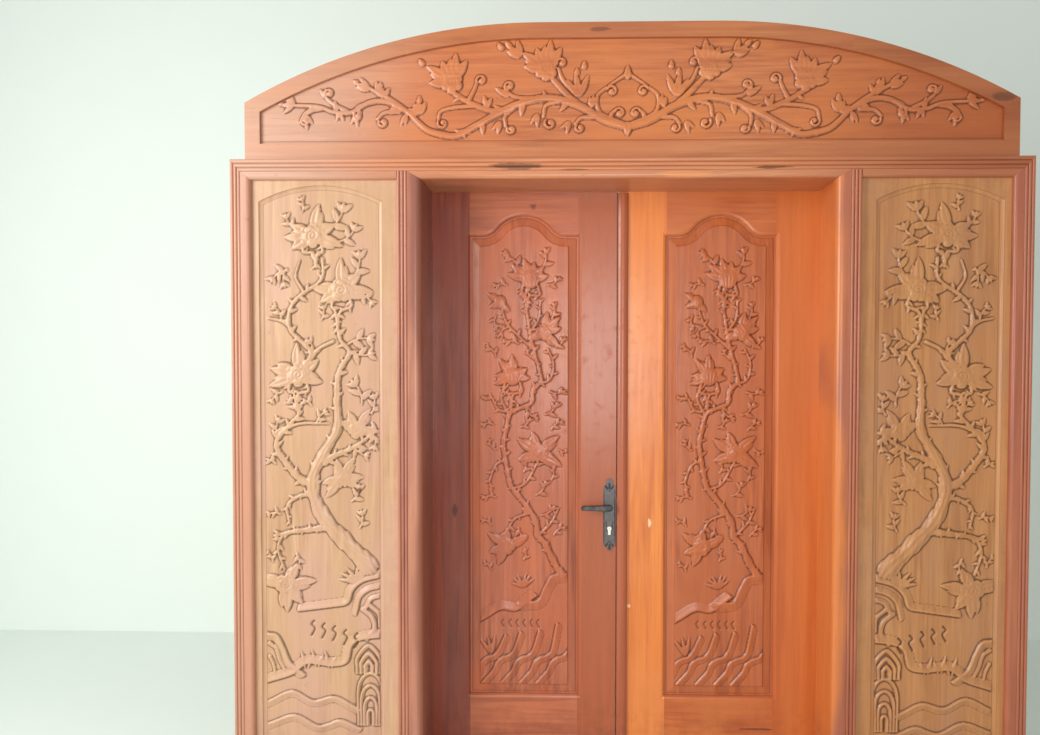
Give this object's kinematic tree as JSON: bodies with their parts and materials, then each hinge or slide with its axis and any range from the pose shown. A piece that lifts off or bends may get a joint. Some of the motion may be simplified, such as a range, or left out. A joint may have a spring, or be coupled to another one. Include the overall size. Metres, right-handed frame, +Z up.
{
  "type": "carved double door in its frame",
  "caption": "Carved and varnished hardwood double door between carved side boards, under an arched carved board, with lever lock, flush bolts and butt hinges.",
  "frame": {"origin": "on the floor, at the middle of the frame's width and of its 250 mm depth", "axes": "+X across the door to the right seen from its carved side, +Y away from the carved side towards the side that the leaves open to, +Z up"},
  "size_m": [2.94, 0.293, 2.828],
  "materials": {
    "frame_timber": "glossy varnish, red-brown hardwood",
    "side_board_timber": "glossy varnish, pale tan hardwood",
    "pediment_timber": "glossy varnish, orange-brown hardwood",
    "leaf_timber": "glossy varnish, orange to red-brown hardwood",
    "hinge_brass": "dull brass",
    "aged_bronze": "dark aged bronze",
    "steel": "plain steel",
    "cylinder_brass": "bright satin brass"
  },
  "bodies": {
    "frame": {"left_jamb": "frame_timber", "right_jamb": "frame_timber", "head_rail": "frame_timber", "left_mullion": "frame_timber", "right_mullion": "frame_timber", "left_sill_rail": "frame_timber", "right_sill_rail": "frame_timber", "left_jamb_reeds": "frame_timber", "right_jamb_reeds": "frame_timber", "head_reeds": "frame_timber", "left_mullion_reeds": "frame_timber", "right_mullion_reeds": "frame_timber", "left_side_board": "side_board_timber", "right_side_board": "side_board_timber", "pediment_foot_rail": "pediment_timber", "pediment_left_stile": "pediment_timber", "pediment_right_stile": "pediment_timber", "pediment_arch_left": "pediment_timber", "pediment_arch_crown": "pediment_timber", "pediment_arch_right": "pediment_timber", "pediment_board": "pediment_timber", "left_frame_hinge_plates": "hinge_brass", "right_frame_hinge_plates": "hinge_brass", "left_hinge_pins": "hinge_brass", "right_hinge_pins": "hinge_brass", "head_bolt_socket": "steel"},
    "left_leaf": {"left_hinge_stile": "leaf_timber", "left_lock_stile": "leaf_timber", "left_top_rail": "leaf_timber", "left_bottom_rail": "leaf_timber", "left_leaf_panel": "leaf_timber", "left_leaf_hinge_plates": "hinge_brass", "lock_case": "steel", "lock_faceplate": "steel", "lock_cylinder": "cylinder_brass", "front_back_plate": "aged_bronze", "rear_back_plate": "aged_bronze"},
    "right_leaf": {"right_hinge_stile": "leaf_timber", "right_meeting_stile": "leaf_timber", "right_top_rail": "leaf_timber", "right_bottom_rail": "leaf_timber", "right_leaf_panel": "leaf_timber", "right_leaf_hinge_plates": "hinge_brass", "meeting_strip": "leaf_timber", "strike_plate": "steel", "top_bolt_case": "steel", "bottom_bolt_case": "steel"},
    "lever": {"front_lever": "aged_bronze", "rear_lever": "aged_bronze", "lever_spindle": "steel"},
    "latch": {"latch_bolt": "steel"},
    "plug": {"key_plug": "cylinder_brass"},
    "dead_lock": {"dead_bolt": "steel"},
    "top_flush_bolt": {"top_bolt": "steel"},
    "bottom_flush_bolt": {"bottom_bolt": "steel"}
  },
  "joints": [
    {"name": "left_leaf_swing", "type": "hinge", "parent": "frame", "child": "left_leaf", "pos_m": [-0.7705, 0.1323, 1.136], "axis": [0, 0, 1], "range_deg": [0, 105]},
    {"name": "right_leaf_swing", "type": "hinge", "parent": "frame", "child": "right_leaf", "pos_m": [0.7705, 0.1323, 1.136], "axis": [0, 0, -1], "range_deg": [0, 105]},
    {"name": "lever_turn", "type": "hinge", "parent": "left_leaf", "child": "lever", "pos_m": [-0.058, 0.105, 1.014], "axis": [0, -1, 0], "range_deg": [0, 45], "stiffness_Nm_per_rad": 1.6, "springref_deg": -28.65},
    {"name": "latch_slide", "type": "slide", "parent": "left_leaf", "child": "latch", "axis": [-1, 0, 0], "range_m": [0, 0.012]},
    {"name": "key_turn", "type": "hinge", "parent": "left_leaf", "child": "plug", "pos_m": [-0.058, 0.105, 0.929], "axis": [0, 1, 0], "range_deg": [0, 360]},
    {"name": "dead_bolt_slide", "type": "slide", "parent": "left_leaf", "child": "dead_lock", "axis": [1, 0, 0], "range_m": [0, 0.02]},
    {"name": "top_bolt_slide", "type": "slide", "parent": "right_leaf", "child": "top_flush_bolt", "axis": [0, 0, 1], "range_m": [0, 0.015]},
    {"name": "bottom_bolt_slide", "type": "slide", "parent": "right_leaf", "child": "bottom_flush_bolt", "axis": [0, 0, -1], "range_m": [0, 0.015]}
  ],
  "couplings": [
    {"joint": "latch_slide", "follows": "lever_turn", "m_per_rad": 0.015279},
    {"joint": "key_turn", "follows": "dead_bolt_slide", "rad_per_m": 314.16}
  ]
}
